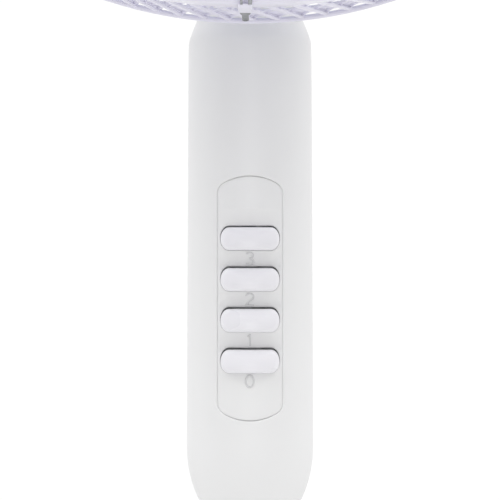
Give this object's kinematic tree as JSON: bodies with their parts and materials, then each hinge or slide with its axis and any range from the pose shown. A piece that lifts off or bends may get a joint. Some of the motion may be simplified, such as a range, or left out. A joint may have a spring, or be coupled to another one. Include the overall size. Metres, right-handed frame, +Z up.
{
  "type": "pedestal fan",
  "caption": "Floor-standing fan: weighted round base, telescopic pole, oval control column with push keys, tilting and swinging head with wire guards.",
  "frame": {"origin": "on the floor, under the axis of the pole", "axes": "+Z up along the pole, the fan blows towards -Y, the panel with the keys faces -Y, +X is on the right as seen from the front"},
  "size_m": [0.4348, 0.4, 1.0384],
  "materials": {
    "white_plastic": "satin moulded",
    "key_plastic": "smooth moulded",
    "white_paint": "powder coated",
    "wire_paint": "powder coated",
    "chrome": "polished",
    "bright_steel": "ground",
    "steel": "zinc plated",
    "casting": "as cast",
    "cast_base": "painted",
    "copper": "enamelled wire",
    "bronze": "sintered",
    "dark_plastic": "moulded",
    "rubber": "moulded",
    "nylon": "moulded",
    "blade_plastic": "smooth moulded"
  },
  "bodies": {
    "base": {"base_cover": "white_plastic", "base_weight": "cast_base", "foot_1": "rubber", "foot_2": "rubber", "foot_3": "rubber", "foot_4": "rubber", "pole_flange": "steel", "pole_bolt": "steel", "outer_tube": "white_paint", "collar_seat": "white_plastic", "split_bush": "nylon"},
    "collar": {"collar_nut": "white_plastic"},
    "column": {"column_front": "white_plastic", "switch_panel": "white_plastic", "column_rear": "white_plastic", "column_screw_1": "steel", "column_screw_2": "steel", "column_screw_3": "steel", "column_screw_4": "steel", "inner_tube": "chrome", "column_socket": "nylon", "pole_screw": "white_plastic", "cord_gland": "dark_plastic", "switch_bracket": "steel", "switch_body": "dark_plastic", "tilt_fork": "white_plastic", "tilt_bolt": "steel"},
    "key_3": {"key_speed_3": "key_plastic"},
    "key_2": {"key_speed_2": "key_plastic"},
    "key_1": {"key_speed_1": "key_plastic"},
    "key_0": {"key_off": "key_plastic"},
    "tilt_handle": {"tilt_knob": "white_plastic"},
    "neck": {"neck_piece": "white_plastic", "swivel_bush": "nylon"},
    "head": {"swivel_pin": "steel", "motor_bracket": "casting", "motor_front_bell": "casting", "motor_rear_bell": "casting", "bearing_front": "bronze", "bearing_rear": "bronze", "stator_core": "steel", "winding_front": "copper", "winding_rear": "copper", "run_capacitor": "dark_plastic", "gearbox_case": "casting", "motor_cover_front": "white_plastic", "motor_cover_rear": "white_plastic", "rear_guard": "wire_paint", "guard_nut": "white_plastic", "guard_band": "white_paint", "front_guard": "wire_paint", "guard_badge": "white_plastic"},
    "rotor": {"rotor_shaft": "bright_steel", "rotor_core": "steel", "fan_blade": "blade_plastic", "blade_cap": "dark_plastic"},
    "crank_wheel": {"crank": "nylon"},
    "link": {"crank_link": "steel"},
    "swing_knob": {"pull_knob": "white_plastic"},
    "clip": {"guard_clip": "steel"}
  },
  "joints": [
    {"name": "collar_turn", "type": "hinge", "parent": "base", "child": "collar", "pos_m": [0, 0, 0.33], "axis": [0, 0, 1], "range_deg": [0, 180]},
    {"name": "height", "type": "slide", "parent": "base", "child": "column", "axis": [0, 0, 1], "range_m": [0, 0.2]},
    {"name": "press_3", "type": "slide", "parent": "column", "child": "key_3", "axis": [0, 1, 0], "range_m": [0, 0.005], "stiffness_N_per_m": 300},
    {"name": "press_2", "type": "slide", "parent": "column", "child": "key_2", "axis": [0, 1, 0], "range_m": [0, 0.005], "stiffness_N_per_m": 300},
    {"name": "press_1", "type": "slide", "parent": "column", "child": "key_1", "axis": [0, 1, 0], "range_m": [0, 0.005], "stiffness_N_per_m": 300},
    {"name": "press_0", "type": "slide", "parent": "column", "child": "key_0", "axis": [0, 1, 0], "range_m": [0, 0.005], "stiffness_N_per_m": 300},
    {"name": "tilt_knob_turn", "type": "hinge", "parent": "column", "child": "tilt_handle", "pos_m": [0.025, 0, 0.69], "axis": [1, 0, 0], "range_deg": [-90, 90]},
    {"name": "tilt", "type": "hinge", "parent": "column", "child": "neck", "pos_m": [0, 0, 0.69], "axis": [1, 0, 0], "range_deg": [-25, 10]},
    {"name": "swing", "type": "hinge", "parent": "neck", "child": "head", "pos_m": [0, 0, 0.73], "axis": [0, 0, 1], "range_deg": [-39, 39]},
    {"name": "blade_spin", "type": "hinge", "parent": "head", "child": "rotor", "pos_m": [0, 0, 0.821], "axis": [0, 1, 0], "continuous": true},
    {"name": "crank_turn", "type": "hinge", "parent": "head", "child": "crank_wheel", "pos_m": [0.015, 0.054, 0.74], "axis": [0, 0, 1], "range_deg": [-90, 90]},
    {"name": "link_turn", "type": "hinge", "parent": "neck", "child": "link", "pos_m": [0.0205, 0, 0.7327], "axis": [0, 0, 1], "range_deg": [-42, 42]},
    {"name": "swing_knob_pull", "type": "slide", "parent": "head", "child": "swing_knob", "axis": [0, 0, 1], "range_m": [0, 0.006]},
    {"name": "clip_open", "type": "hinge", "parent": "head", "child": "clip", "pos_m": [-0.002, -0.0845, 0.60235], "axis": [1, 0, 0], "range_deg": [0, 70]}
  ],
  "couplings": [
    {"joint": "crank_turn", "follows": "swing", "ratio": -2.28},
    {"joint": "link_turn", "follows": "swing", "ratio": 1}
  ]
}
